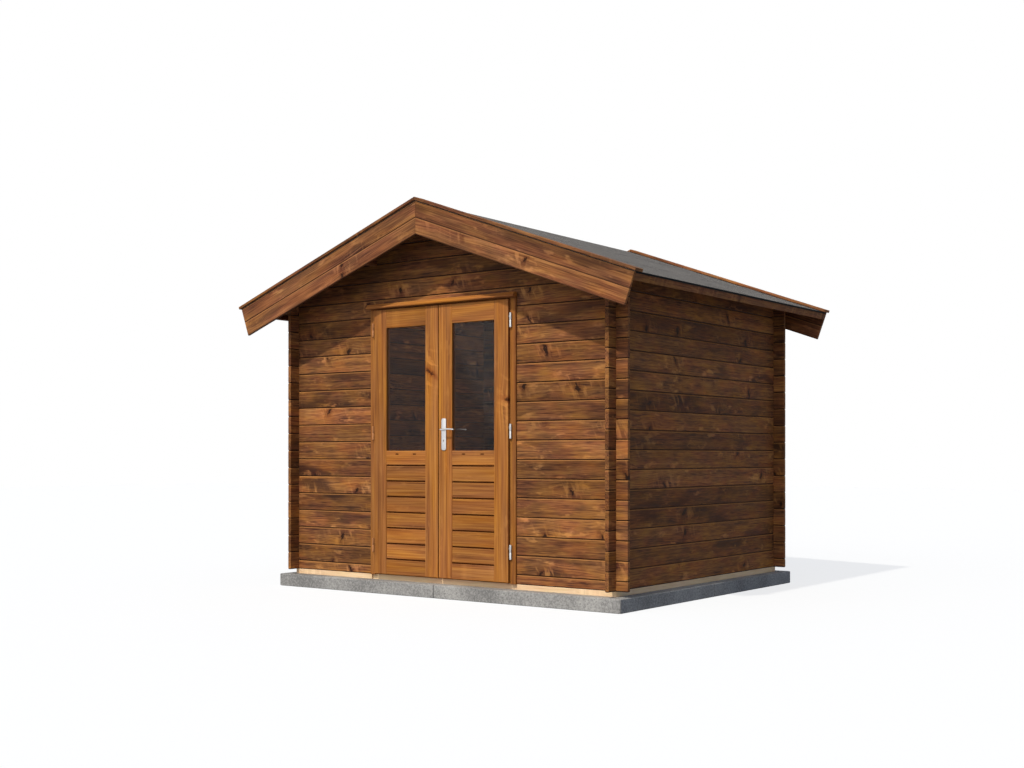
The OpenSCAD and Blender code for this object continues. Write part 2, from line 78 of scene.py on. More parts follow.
# %% [markdown]
# ## The camera
# The photo is taken from a little under chest height, to the right of the door. The camera stays level
# and its lens is shifted up, which keeps the upright lines of the shed parallel in the picture. Tilting
# the camera up would frame the roof as well, but the walls would lean inward.

# %% Camera
lens = bpy.data.cameras.new("camera")
lens.lens = 45.79
lens.sensor_width = 36
lens.shift_y = 0.0699
camera = bpy.data.objects.new("camera", lens)
camera.location = (5.7141, -8.0311, 0.9720)
camera.rotation_euler = (math.radians(90), 0, math.radians(36.56))
bpy.context.collection.objects.link(camera)
bpy.context.scene.camera = camera
bpy.context.scene.view_settings.view_transform = "Standard"
print("camera at", camera.location[:])

# %% [markdown]
# ## Writing shaders as formulas
# Node trees are easier to follow when they read like arithmetic. This small class wraps one output
# socket: plus, minus, times and divide add Math nodes, mix turns one colour to another, and every node
# goes through the one method called node.

# %% A socket with arithmetic
def set_stops(ramp, stops):
    while len(ramp.elements) < len(stops):
        ramp.elements.new(0.5)
    for element, (place, colour) in zip(ramp.elements, stops):
        element.position = place
        element.color = colour


class Sig:
    """One output socket of a node tree."""

    def __init__(self, tree, out=None):
        self.tree = tree
        self.out = out

    def node(self, kind, settings=None, values=None, out=0):
        """Adds a node, sets it up, fills or links its inputs, and returns one of its outputs."""
        made = self.tree.nodes.new(kind)
        for key, value in (settings or {}).items():
            if key == "stops":
                set_stops(made.color_ramp, value)
            else:
                setattr(made, key, value)
        for key, value in (values or {}).items():
            if isinstance(value, Sig):
                self.tree.links.new(value.out, made.inputs[key])
            else:
                made.inputs[key].default_value = value
        return Sig(self.tree, made.outputs[out] if len(made.outputs) else None)

    def also(self, name):
        return Sig(self.tree, self.out.node.outputs[name])

    def split(self):
        first = self.node("ShaderNodeSeparateXYZ", None, {0: self}, "X")
        return first, first.also("Y"), first.also("Z")

    def calc(self, op, one, two=0.0):
        return self.node("ShaderNodeMath", {"operation": op}, {0: one, 1: two})

    def __add__(self, other):
        return self.calc("ADD", self, other)

    def __sub__(self, other):
        return self.calc("SUBTRACT", self, other)

    def __rsub__(self, other):
        return self.calc("SUBTRACT", other, self)

    def __mul__(self, other):
        return self.calc("MULTIPLY", self, other)

    def __truediv__(self, other):
        return self.calc("DIVIDE", self, other)

    def __rtruediv__(self, other):
        return self.calc("DIVIDE", other, self)

    __radd__ = __add__
    __rmul__ = __mul__

    def smooth(self, low, high):
        """0 at low and 1 at high, with a soft run between them; low may be the greater."""
        values = {"Value": self, "From Min": low, "From Max": high}
        return self.node("ShaderNodeMapRange", {"interpolation_type": "SMOOTHSTEP"}, values)

    def mix(self, colour, factor):
        """This colour, turned to another one by a factor."""
        return self.node("ShaderNodeMix", {"data_type": "RGBA"}, {0: factor, 6: self, 7: colour}, 2)

    def ramp(self, *stops):
        return self.node("ShaderNodeValToRGB", {"stops": stops}, {"Fac": self})

    def grains(self, scale, detail=2.0, rough=0.5):
        """Noise over this vector."""
        values = {"Vector": self, "Scale": scale, "Detail": detail, "Roughness": rough}
        return self.node("ShaderNodeTexNoise", None, values)

    def noise(self, x, y, z, detail=2.0, rough=0.5):
        """Noise at a point given by three formulas or numbers."""
        return self.node("ShaderNodeCombineXYZ", None, {0: x, 1: y, 2: z}).grains(1.0, detail, rough)


print("formulas ready")

# %% [markdown]
# ## Colours and materials
# Nodes work with linear light, while a colour picked on a screen is not linear. The helper below turns
# one into the other, so every stain can be written as it looks. The others start a material and link
# formulas or plain values to its shader.

# %% Colour and material helpers
def paint(red, green, blue):
    """A colour as a screen shows it, 0 to 255, turned to the linear values that nodes use."""
    linear = [((v / 255 + 0.055) / 1.055) ** 2.4 if v > 10 else v / 3295 for v in (red, green, blue)]
    return (*linear, 1.0)


def scaled(colour, share):
    return (*(c * share for c in colour[:3]), 1.0)


def finish_of(name):
    """A new material, its shader node and a starting point for formulas."""
    material = bpy.data.materials.new(name)
    material.use_nodes = True
    shader = material.node_tree.nodes["Principled BSDF"]
    return material, shader, Sig(material.node_tree)


def feed(shader, **sockets):
    """Links formulas or writes constants to the shader, Base_Color standing for Base Color."""
    for key, value in sockets.items():
        socket = shader.inputs[key.replace("_", " ")]
        if isinstance(value, Sig):
            value.tree.links.new(value.out, socket)
        else:
            socket.default_value = value


def plain(name, **sockets):
    """A material whose shader takes constants only."""
    material, shader, _ = finish_of(name)
    feed(shader, **sockets)
    return material


print("a mid brown is", [round(c, 3) for c in paint(122, 78, 42)])

# %% [markdown]
# ## Light
# The photo is cut out on white and lit by one lamp, high in front of the door, so that the roof throws a
# gable shaped shadow on the wall. A sun lamp does that, with a disc wide enough for soft edges. A second,
# very wide one stands for the light that bright ground in front would return, and a weak bulb inside
# lets the far wall show through the panes. The world fills the rest with cool light.

# %% World and lamps
scene = bpy.context.scene
world = bpy.data.worlds.new("studio")
world.use_nodes = True
world.node_tree.nodes.clear()
scene.world = world


def seen_directly(start):
    """1 for rays that reach the eye straight, off gloss or through glass, 0 for light that bounces."""
    rays = start.node("ShaderNodeLightPath", None, None, "Is Camera Ray")
    straight = rays + rays.also("Is Glossy Ray") + rays.also("Is Transmission Ray")
    return straight.smooth(0.0, 1.0) * rays.also("Diffuse Depth").smooth(1.0, 0.0)


sky = Sig(world.node_tree)
fill = sky.node("ShaderNodeBackground", None, {"Color": (0.80, 1.04, 1.48, 1), "Strength": 0.25})
white = sky.node("ShaderNodeBackground", None, {"Color": (1, 1, 1, 1), "Strength": 1.0})
both = sky.node("ShaderNodeMixShader", None, {0: seen_directly(sky), 1: fill, 2: white})
sky.node("ShaderNodeOutputWorld", None, {"Surface": both})


def lamp(name, kind, energy, colour, place, aim):
    data = bpy.data.lights.new(name, kind)
    data.energy = energy
    data.color = colour
    obj = bpy.data.objects.new(name, data)
    obj.location = place
    obj.rotation_euler = Vector(aim).to_track_quat("-Z", "Y").to_euler()
    scene.collection.objects.link(obj)
    return data


sun = lamp("front_lamp", "SUN", 2.45, (1.0, 0.95, 0.85), (0, -6, 7), (0, 275, -325))
sun.angle = math.radians(1.6)
wide = lamp("front_fill", "SUN", 1.28, (1.0, 0.96, 0.92), (0, -8, 3), (0, 1, -0.3))
wide.angle = math.radians(80)
bulb = lamp("inside_bulb", "POINT", 9.6, (1.0, 0.90, 0.78), (0.0, 0.2, 1.85), (0, 0, -1))
bulb.shadow_soft_size = 0.2
scene.objects["inside_bulb"].visible_camera = False

# %% [markdown]
# ## Floor
# The floor is pale and carries only a faint shadow, so the shed stands on it as the cut-out stands on
# white. The camera sees a floor that glows a little, and bounced light sees a plain darker one.

# %% Floor
bpy.ops.mesh.primitive_plane_add(size=60)
floor = bpy.context.object
floor.name = "studio_floor"
ground = bpy.data.materials.new("studio_floor")
ground.use_nodes = True
ground.node_tree.nodes.clear()
start = Sig(ground.node_tree)
dull = start.node("ShaderNodeBsdfDiffuse", None, {"Color": (0.20, 0.21, 0.23, 1)})
pale = start.node("ShaderNodeBsdfDiffuse", None, {"Color": (0.25, 0.25, 0.25, 1)})
glow = start.node("ShaderNodeEmission", None, {"Color": (1, 1, 1, 1), "Strength": 0.76})
lit = start.node("ShaderNodeAddShader", None, {0: pale, 1: glow})
shown = start.node("ShaderNodeMixShader", None, {0: seen_directly(start), 1: dull, 2: lit})
start.node("ShaderNodeOutputMaterial", None, {"Surface": shown})
floor.data.materials.append(ground)
print("floor ready")

# %% [markdown]
# ## Knots
# In softwood boards most knots are cut along their length, so they show as dark upright flames rather
# than as dots, with pale ripples beside them and growth lines that bend away. Voronoi cells place them,
# and a little noise makes their edges run. Painting an image would give sharper knots, but the same ones
# on every board.

# %% Where knots lie
def knot_field(sig, along, across, other, share):
    """Masks of the knots' cores, rims and pale ripples, and the across coordinate bent round them."""
    long_cell = 0.50
    wide_cell = 0.16
    u = along / long_cell
    v = (across + other * 4) / wide_cell
    point = sig.node("ShaderNodeCombineXYZ", None, {0: u, 1: v, 2: 0.0})
    values = {"Vector": point, "Scale": 1.0, "Randomness": 0.8}
    cell = sig.node("ShaderNodeTexVoronoi", {"voronoi_dimensions": "2D"}, values, "Position")
    cell_u, cell_v, _ = cell.split()
    luck, big, turn = cell.also("Color").split()
    there = luck.smooth(1 - share, 1.001 - share)
    dx = (u - cell_u) * long_cell
    dy = (v - cell_v) * wide_cell
    sway = sig.noise(along * 45, across * 45, other * 7, 4.0, 0.7) - 0.5
    lean = dx + dy * (turn - 0.5) * 1.6 + sway * 0.07
    wide = 0.011 + 0.015 * big * (1.2 - turn)
    tall = 0.022 + 0.042 * big * turn
    flat = lean / wide
    steep = (dy + sway * 0.05) / tall
    spot = sig.calc("SQRT", flat * flat + steep * steep)
    halo = sig.calc("EXPONENT", dx * dx * -45 - dy * dy * 200) * there
    ripple = sig.noise(along * 26 + dy * 9, across * 8, other * 5, 2.0, 0.6).smooth(0.50, 0.66) * halo
    lane = across - dy * halo * 0.6
    return spot.smooth(1.1, 0.5) * there, spot.smooth(3.0, 0.6) * there, ripple, lane


print("knots ready")

# %% [markdown]
# ## Wood
# Stained softwood shows soft bands, finer growth lines, fibre, redder and greyer patches, smudges where
# the stain went deep, and short dark cracks. Each board carries its own coordinates, along, across and
# through it, so one recipe serves every timber and the end grain comes out right. Every board also has
# two chance numbers, which shift its brightness and choose how patchy it is. The chamfer on a board's
# lower edge and the bottom of the groove are darkened as painted shade, and the upper chamfer is
# lightened as a painted highlight.

# %% The wood recipe
def wood(name, slot, light, mid, dark, knots, patches, joints, contrast, vary, drift=0.010, short=1.0):
    """A timber and its slot, from three stains, a share of knots and the strength of its other marks."""
    material, shader, sig = finish_of(name)
    place = sig.node("ShaderNodeAttribute", {"attribute_name": "grain"}, None, "Vector")
    board = sig.node("ShaderNodeAttribute", {"attribute_name": "board"}, None, "Vector")
    along, across, deep = place.split()
    tone, other, half = board.split()
    knot, rim, ripple, lane = knot_field(sig, along, across, other, knots)

    bands = sig.noise(along * 1.4, lane * 20, deep * 20 + tone * 9, 2.0, 0.5)
    lines = sig.noise(along * 1.6 * short, lane * 90, deep * 90 + other * 9, 2.0, 0.6)
    fibre = sig.noise(along * 10 * short, lane * 210, deep * 210, 1.0)
    mottle = sig.noise(along * 4.5 * short, across * 12, deep * 12 + other * 30, 3.0, 0.55)
    blush = sig.noise(along * 3.5 * short, across * 9, deep * 9 + tone * 30, 3.0, 0.6)
    streaks = (bands - 0.5) * 0.3 + (lines - 0.5) * 0.5 + (fibre - 0.5) * 0.5
    figure = 0.5 + (streaks + (mottle - 0.5) * 0.4) * contrast
    colour = figure.ramp((0.26, dark), (0.48, mid), (0.68, light))

    smudge = sig.noise(along * 2.2 + 7.0, across * 8, tone * 20, 3.0, 0.5).smooth(0.50, 0.68)
    gleam = sig.noise(along * 6 + 31.0, across * 16, other * 20, 3.0, 0.6).smooth(0.58, 0.74)
    crack = sig.noise(along * 7, lane * 150, other * 30, 1.0).smooth(0.76, 0.82)
    pale = scaled(light, 1.4)
    rust = (dark[0] * 1.4, dark[1] * 0.9, dark[2] * 0.85, 1.0)
    core = scaled(dark, 0.4)
    for tint, share in ((dark, smudge * patches * (0.2 + 0.8 * other)), (pale, gleam * patches * 0.8),
                        (pale, ripple * 0.65), (rust, rim * 0.6), (core, knot * 0.95), (core, crack * 0.6)):
        colour = colour.mix(tint, share)
    values = {"Hue": 0.501 - blush.smooth(0.42, 0.62) * drift, "Saturation": 1 + (mottle - 0.5) * 0.2,
              "Value": 1 - vary / 2 + tone * vary, "Color": colour}
    colour = sig.node("ShaderNodeHueSaturation", None, values)
    # Painted shade: the lower chamfer, which faces down, and the bottom of the groove are darkened.
    under = (half + across).smooth(0.0075, 0.0055)
    over = (half - across).smooth(0.0020, 0.0010)
    # Painted highlight: the upper chamfer, which faces the light, is lightened.
    edge = (half - across).smooth(0.0110, 0.0050)
    colour = colour.mix(scaled(light, 1.25), edge * joints * 0.6)
    colour = colour.mix(scaled(dark, 0.8), (under + over).smooth(0.0, 1.0) * joints)

    height = lines * 0.6 + fibre * 0.4 - knot * 0.3 - crack * 0.5
    bump = sig.node("ShaderNodeBump", None, {"Strength": 0.35, "Distance": 0.0015, "Height": height})
    feed(shader, Base_Color=colour, Roughness=0.7 + (lines - 0.5) * 0.3, Normal=bump,
         Specular_IOR_Level=0.1)
    return material, slot


wall_wood = wood("wall_stain", "wall_timber", paint(164, 112, 62), paint(128, 82, 47), paint(64, 40, 28),
                 knots=0.32, patches=1.0, joints=0.94, contrast=1.2, vary=0.68)
roof_wood = wood("roof_stain", "roof_timber", paint(174, 120, 72), paint(134, 86, 52), paint(72, 43, 27),
                 knots=0.34, patches=0.75, joints=0.8, contrast=1.1, vary=0.5, short=0.6)
door_wood = wood("door_stain", "door_timber", paint(192, 130, 64), paint(162, 101, 48), paint(104, 57, 27),
                 knots=0.03, patches=0.25, joints=0.0, contrast=0.95, vary=0.34, drift=0.004, short=0.3)
raw_wood = wood("raw_softwood", "raw_timber", paint(252, 226, 186), paint(242, 208, 162),
                paint(216, 174, 126), knots=0.2, patches=0.15, joints=0.3, contrast=0.6, vary=0.1)
print("timbers:", [timber[0].name for timber in (wall_wood, roof_wood, door_wood, raw_wood)])

# %% [markdown]
# ## Solids from outlines
# Nearly every piece is an outline pushed along a straight line, so one function makes them all: it sets
# rings of corners one behind the other and skins them. The last two helpers turn a solid into a mesh, and
# put a mesh in the scene, on its body and in place of a CAD node.

# %% Outlines, solids and pieces
FLAT = (Vector(), X, Y, Z)


def rectangle(a0, a1, b0, b1):
    return [(a0, b0), (a1, b0), (a1, b1), (a0, b1)]


def skin(bm, rings):
    """Closes the first and the last of some rings of corners, and joins each ring to the next."""
    bm.faces.new(rings[0])
    bm.faces.new(rings[-1][::-1])
    for one, two in zip(rings, rings[1:]):
        for i in range(len(one)):
            bm.faces.new((one[i - 1], two[i - 1], two[i], one[i]))
    bmesh.ops.recalc_face_normals(bm, faces=bm.faces[:])


def extrude(bm, outline, place, near, far):
    """Adds a solid on an outline of (a, b). place is an origin and the directions of a, b and depth."""
    origin, along, across, deep = place
    rings = [[bm.verts.new(origin + along * a + across * b + deep * d) for a, b in outline]
             for d in (near, far)]
    skin(bm, rings)


def prism(outline, place, thick):
    """A solid on an outline, as a bmesh of its own."""
    bm = bmesh.new()
    extrude(bm, outline, place, 0.0, thick)
    return bm


def mesh_of(name, bm, *materials):
    mesh = bpy.data.meshes.new(name)
    bm.to_mesh(mesh)
    bm.free()
    for material in materials:
        mesh.materials.append(material)
    return mesh


def settle(name, mesh, slot, node=None, body="shed"):
    obj = bpy.data.objects.new(name, mesh)
    scene.collection.objects.link(obj)
    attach(obj, body)
    if node:
        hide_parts(node)
    print(name, "has", len(mesh.polygons), "faces")


print("a square has the corners", rectangle(0, 1, 0, 1))

# %% [markdown]
# ## A kit of boards
# A wall is many boards, and one mesh for each wall keeps the scene light. Each board also gets its own
# chance numbers, so that no two have the same figure; where the photo shows which boards are dark or
# pale, their tones are given instead.

# %% The board kit
NO_SEAM = 9.0
ARRIS = 0.0015
FINE = 0.002
GROOVE = 0.0025


class Kit:
    """Boards that become one mesh, each vertex carrying its place in its own board."""

    def __init__(self, seed, *tones):
        self.chance = random.Random(seed)
        self.tones = list(tones)
        self.points = []
        self.faces = []
        self.grain = []
        self.board = []

    def take(self, bm, where, run, seams):
        """Adds a finished solid. where gives a point's board coordinates, run tells which is its length."""
        rows = [where(v.co) for v in bm.verts]
        middle = [(min(c) + max(c)) / 2 for c in zip(*rows)]
        reach = [(max(c) - min(c)) / 2 for c in zip(*rows)]
        order = (run, (run + 1) % 3, (run + 2) % 3)
        shift = self.chance.uniform(0, 90)
        tone = self.tones.pop(0) if self.tones else self.chance.random()
        mood = (tone, self.chance.random(), reach[order[1]] if seams else NO_SEAM)
        bm.verts.index_update()
        first = len(self.points)
        for v, row in zip(bm.verts, rows):
            local = [row[i] - middle[i] for i in order]
            self.points.append(v.co[:])
            self.grain.append((local[0] + shift, local[1], local[2]))
            self.board.append(mood)
        for face in bm.faces:
            self.faces.append([first + v.index for v in face.verts])
        bm.free()

    def plank(self, outline, place, thick, chamfer=0.003, run=0, seams=False, skip=(), cut=None):
        """One board on an outline. Chamfers its edges but for those in the spans of skip, then cuts it."""
        bm = prism(outline, place, thick)
        origin, *directions = place

        def where(point):
            return [(point - origin).dot(d) for d in directions]

        def chamfer_edges(size, lengthwise):
            edges = []
            for edge in bm.edges:
                one, two = (where(v.co) for v in edge.verts)
                straight = all(abs(one[i] - two[i]) < 1e-6 for i in range(3) if i != run)
                middle = (one[0] + two[0]) / 2
                hidden = any(low - 1e-4 < middle < high + 1e-4 for low, high in skip)
                if edge.is_convex and straight == lengthwise and not hidden:
                    edges.append(edge)
            bmesh.ops.bevel(bm, geom=edges, offset=size, segments=1, affect="EDGES", clamp_overlap=True)

        if chamfer:
            chamfer_edges(chamfer, True)
            chamfer_edges(min(chamfer, ARRIS), False)
        if cut:
            bm = cut(bm)
        self.take(bm, where, run, seams)

    def bar(self, low, high, run, chamfer=0.003):
        """A straight timber between two corners, its length along axis run."""
        low, high = Vector(low), Vector(high)
        box = rectangle(low.x, high.x, low.y, high.y)
        self.plank(box, (Z * low.z, X, Y, Z), high.z - low.z, chamfer, run)

    def piece(self, name, timber, node=None, body="shed"):
        """Joins the boards as one object that rides a body and stands for a CAD node."""
        material, slot = timber
        mesh = bpy.data.meshes.new(name)
        mesh.from_pydata(self.points, [], self.faces)
        for label, rows in (("grain", self.grain), ("board", self.board)):
            layer = mesh.attributes.new(label, "FLOAT_VECTOR", "POINT")
            layer.data.foreach_set("vector", [n for row in rows for n in row])
        mesh.materials.append(material)
        settle(name, mesh, slot, node, body)


print("board kit ready")

# %% [markdown]
# ## Walls of interlocking boards
# At each corner the boards run on as log ends, and every board is cut by a quarter of its height, top and
# bottom, where it crosses the other wall. The front and rear courses sit half a course off the side ones,
# so the cuts fill each other. The outline below walks along the bottom edge and back along the top.

# %% Laying a wall board
COLUMN = (half_w - BOARD, half_w)
SIDE_COLUMN = (half_d - BOARD, half_d)
NUDGE = 0.0006
CHAMFER = 0.006


def notched(a0, a1, z0, z1, columns, low=COURSE / 4, high=COURSE / 4):
    """Outline of a board with a cut above and below at each column where it crosses another wall."""
    points = [(a0, z0)]
    for c0, c1 in columns:
        if low:
            points += [(c0, z0), (c0, z0 + low), (c1, z0 + low), (c1, z0)]
    points += [(a1, z0), (a1, z1)]
    for c0, c1 in reversed(columns):
        if high:
            points += [(c1, z1), (c1, z1 - high), (c0, z1 - high), (c0, z1)]
    points.append((a0, z1))
    return points


def mirror(column):
    return (-column[1], -column[0])


def lay(kit, outline, place, columns):
    """Lays one wall board, a hair in or out of line as real boards are."""
    origin, along, across, deep = place
    nudge = kit.chance.uniform(-NUDGE, NUDGE)
    kit.plank(outline, (origin + deep * nudge, along, across, deep), BOARD, CHAMFER, 0, True, columns)


print("columns at", COLUMN, SIDE_COLUMN)

# %% [markdown]
# ## Side walls and the front beside the door
# Each wall has a place: a corner to start from and the directions of its length, its height and its
# thickness. The boards of a wall only differ in their height and in their chance numbers.

# %% Side and front walls
front = (Y * -half_d, X, Z, Y)
rear = (Y * half_d, X, Z, -Y)
right = (X * half_w, Y, Z, -X)
left = (X * -half_w, Y, Z, X)
end_x = half_w + LOG_END
end_y = half_d + LOG_END
split_z = base_z + COURSE / 2 + END_COURSES * COURSE
opening_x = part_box("front_wall_lintel")[1].x
opening_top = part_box("front_wall_lintel")[0].z
courses = [base_z + COURSE / 2 + i * COURSE for i in range(END_COURSES)]

for name, place, seed in (("left_wall", left, 11), ("right_wall", right, 12)):
    kit = Kit(seed)
    columns = [mirror(SIDE_COLUMN), SIDE_COLUMN]
    for i in range(SIDE_COURSES):
        z0 = base_z + i * COURSE
        trim = TOP_TRIM if i == SIDE_COURSES - 1 else 0.0
        outline = notched(-end_y, end_y, z0, z0 + COURSE + trim, columns, COURSE / 4, COURSE / 4 + trim)
        lay(kit, outline, place, columns)
    kit.piece(name + "_boards", wall_wood, name)


def end_wall(kit, place, a0, a1, columns, levels):
    """A half board at the foot and a full one on each level."""
    lay(kit, notched(a0, a1, base_z, base_z + COURSE / 2, columns, 0), place, columns)
    for z0 in levels:
        lay(kit, notched(a0, a1, z0, z0 + COURSE, columns), place, columns)


for name, a0, a1, column, seed in (("front_wall_left", -end_x, -opening_x, mirror(COLUMN), 13),
                                   ("front_wall_right", opening_x, end_x, COLUMN, 14)):
    kit = Kit(seed)
    end_wall(kit, front, a0, a1, [column], courses[:-1])
    kit.piece(name + "_boards", wall_wood, name)

# %% [markdown]
# ## The board over the door
# The top course under the gable runs through from corner to corner, with a long cut for the door head.
# One outline holds that cut and the corner notches, so the board stays in one piece.

# %% Lintel board
columns = [mirror(COLUMN), COLUMN]
kit = Kit(15)
lintel = notched(-end_x, end_x, courses[-1], split_z, columns)
lintel[5:5] = [(-opening_x, courses[-1]), (-opening_x, opening_top),
               (opening_x, opening_top), (opening_x, courses[-1])]
lay(kit, lintel, front, columns)
kit.piece("lintel_board", wall_wood, "front_wall_lintel")

# %% [markdown]
# ## Gables
# A gable board is cut to the slope of the roof, so it is a trapezium, and the topmost one a triangle. The
# lowest still has log ends, so its outline starts with the cuts for the side walls.

# %% Gable boards
SLOPE_GAP = 0.0005
peak = ridge_z - SLOPE_GAP


def reach_at(z):
    return (peak - z) / math.tan(PITCH)


def gable(kit, place):
    """Boards from the split up to the ridge, cut to the slope."""
    top = split_z + COURSE
    foot = peak - end_x * math.tan(PITCH)
    lower = notched(-end_x, end_x, split_z, top, columns, COURSE / 4, 0)[:-2]
    lower += [(end_x, foot), (reach_at(top), top), (-reach_at(top), top), (-end_x, foot)]
    lay(kit, lower, place, columns)
    z0 = top
    while ridge_z - z0 > COURSE:
        a, b = reach_at(z0), reach_at(z0 + COURSE)
        lay(kit, [(-a, z0), (a, z0), (b, z0 + COURSE), (-b, z0 + COURSE)], place, [])
        z0 += COURSE
    a = reach_at(z0)
    lay(kit, [(-a, z0), (a, z0), (0, peak)], place, [])


kit = Kit(16)
gable(kit, front)
kit.piece("front_gable_boards", wall_wood, "front_gable")

kit = Kit(17)
end_wall(kit, rear, -end_x, end_x, columns, courses)
gable(kit, rear)
kit.piece("rear_wall_boards", wall_wood, "rear_wall")

# %% [markdown]
# ## Roof timbers
# Purlins carry boards that run down each slope, and a lath closes the boards' ends at the eaves. Points
# on the roof are given as a distance down the slope and a height square to it. Turning a flat model of
# the roof would also work, but then its ends would not be plumb.

# %% Points on the slope
roof_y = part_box("ridge_purlin")[1].y
HAIR = 0.0002
ROOF_BOARD = 0.018
SLOPE_END = 1.7898
LATH = 0.020
SHEET = 0.002
PLUMB_GAP = 0.0005
BOARD_TOP = HAIR + ROOF_BOARD
FELT_Q = BOARD_TOP + HAIR
CAP_Q = FELT_Q + 2 * SHEET + HAIR
LATH_END = SLOPE_END + HAIR + LATH
EAVE = LATH_END + HAIR


def slope_frame(side, y):
    """Origin on the ridge and the directions down the slope, square to it and along Y."""
    down = Vector((side * math.cos(PITCH), 0, -math.sin(PITCH)))
    up = Vector((side * math.sin(PITCH), 0, math.cos(PITCH)))
    return Vector((0, y, ridge_z)), down, up, Y


def at_ridge(q, gap=0.0):
    """Distance down the slope at which level q meets an upright cut by the ridge."""
    return (gap - q * math.sin(PITCH)) / math.cos(PITCH)


def slope_outline(q0, q1, end):
    """A timber from the plumb cut by the ridge down to its end, between two levels."""
    return [(at_ridge(q0, PLUMB_GAP), q0), (end, q0), (end, q1), (at_ridge(q1, PLUMB_GAP), q1)]


def roof_z(x):
    return ridge_z - abs(x) * math.tan(PITCH)


print("roof runs", round(2 * roof_y, 3), "m from barge to barge")

# %% [markdown]
# ## Purlins, roof boards and laths
# The purlins' tops are cut to the slope. The roof boards are narrow and lie side by side with a fine
# groove between them, which shows from under the eaves and from inside.

# %% Purlins, roof boards, laths
PURLIN_X = 0.62
ROOF_BOARDS = 31
LATH_DEEP = 0.053
PURLIN = 0.045
w = PURLIN / 2
kit = Kit(21)
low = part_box("ridge_purlin")[0].z
kit.plank([(-w, low), (w, low), (w, roof_z(w)), (0, ridge_z), (-w, roof_z(w))],
          (Y * -roof_y, X, Z, Y), 2 * roof_y, run=2)
kit.piece("ridge_beam", roof_wood, "ridge_purlin")

kit = Kit(22)
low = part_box("side_purlins")[0].z
for x in (-PURLIN_X, PURLIN_X):
    outline = [(x - w, low), (x + w, low), (x + w, roof_z(x + w)), (x - w, roof_z(x - w))]
    kit.plank(outline, (Y * -roof_y, X, Z, Y), 2 * roof_y, run=2)
kit.piece("side_beams", roof_wood, "side_purlins")

for name, side, seed in (("roof_boards_left", -1, 23), ("roof_boards_right", 1, 24)):
    kit = Kit(seed)
    width = 2 * roof_y / ROOF_BOARDS
    for i in range(ROOF_BOARDS):
        origin, down, up, _ = slope_frame(side, -roof_y + i * width)
        box = rectangle(0.0, SLOPE_END, 0.0, width)
        kit.plank(box, (origin + up * HAIR, down, Y, up), ROOF_BOARD, GROOVE, 0, True)
    kit.piece(name + "_laid", roof_wood, name)

kit = Kit(25, 0.0, 0.0)
for side in (-1, 1):
    box = rectangle(SLOPE_END + HAIR, LATH_END, BOARD_TOP - LATH_DEEP, BOARD_TOP)
    kit.plank(box, slope_frame(side, -roof_y), 2 * roof_y, FINE, 2)
kit.piece("eave_strips", roof_wood, "eave_laths")

# %% [markdown]
# ## Barge boards and caps
# Two planks a slope, one over the other, hide the ends of the roof boards. They are cut plumb at the
# ridge, where the left and right ones meet in a thin upright line, and square at the eaves. A flat cap
# strip holds the felt down along the edge.

# %% Barges and cap strips
BARGE = 0.018
BARGE_W = 0.105
CAP = 0.020
CAP_W = 0.087
CAP_OUT = 0.014
CAP_PAST = 0.011
barge_y = roof_y + BARGE
for name, near, seed in (("front_barge_boards", -barge_y, 26), ("rear_barge_boards", roof_y, 27)):
    kit = Kit(seed, 0.35, 0.45, 0.1, 0.6)
    for side in (-1, 1):
        for top in (BOARD_TOP, BOARD_TOP - BARGE_W - HAIR):
            outline = slope_outline(top - BARGE_W, top, LATH_END)
            kit.plank(outline, slope_frame(side, near), BARGE, FINE, 0, True)
    kit.piece(name + "_laid", roof_wood, name)

cap_y = barge_y + CAP_OUT
for name, near, seed in (("front_cap_strips", -cap_y, 28), ("rear_cap_strips", cap_y - CAP_W, 29)):
    kit = Kit(seed)
    for side in (-1, 1):
        outline = slope_outline(CAP_Q, CAP_Q + CAP, EAVE + CAP_PAST)
        kit.plank(outline, slope_frame(side, near), CAP_W)
    kit.piece(name + "_laid", roof_wood, name)

# %% [markdown]
# ## The look of roofing felt
# Mineral felt is a scatter of light and dark grains in bitumen. Noise at two sizes draws the grains, so
# that they still show from a distance, and a slow cloud keeps the sheet from looking printed.

# %% Felt finish
felt, shader, sig = finish_of("grey_felt")
spot = sig.node("ShaderNodeTexCoord", None, None, "Object")
grit = spot.grains(420.0, 1.0)
coarse = spot.grains(150.0)
cloud = spot.grains(2.2, 3.0)
speck = 0.5 + (grit - 0.5) * 1.3 + (coarse - 0.5) * 1.2 + (cloud - 0.5) * 0.2
colour = speck.ramp((0.2, paint(46, 44, 42)), (0.5, paint(93, 89, 85)), (0.8, paint(150, 144, 137)))
bump = sig.node("ShaderNodeBump", None, {"Strength": 0.6, "Distance": 0.001, "Height": grit + coarse})
feed(shader, Base_Color=colour, Roughness=0.95, Normal=bump, Specular_IOR_Level=0.2)
print("felt finish ready")

# %% [markdown]
# ## Laying the felt
# Felt comes on a roll and is laid from the eaves up, each strip lapping the one below, with a last strip
# folded over the ridge. A strip is a thin profile run along the roof, and it thins out at its lap, because
# the lap is melted down. At the eaves the edge folds over the lath and shows its black side.

# %% Felt strips
HIGH_LAP = 0.52
LOW_LAP = 1.14
OVERLAP = 0.11
RISE = 0.04
SLANT = 0.01
THIN_EDGE = 0.0003
FOLD = 0.004
FOLD_DEEP = 0.012
low, mid, top = FELT_Q, FELT_Q + SHEET, FELT_Q + 2 * SHEET
dark_felt = plain("felt_edge", Base_Color=paint(30, 29, 29), Roughness=0.95, Specular_IOR_Level=0.1)


def lapped(under, over, lap):
    """Profile of a strip whose lower edge rises over the next one. under and over are its upper ends."""
    rest = mid + HAIR / 2
    edge = lap + OVERLAP
    return [(under, low), (lap - RISE, low), (lap, rest), (edge, rest), (edge, rest + THIN_EDGE),
            (edge - SLANT, top), (lap - SLANT, top), (lap - RISE - SLANT, mid), (over, mid)]


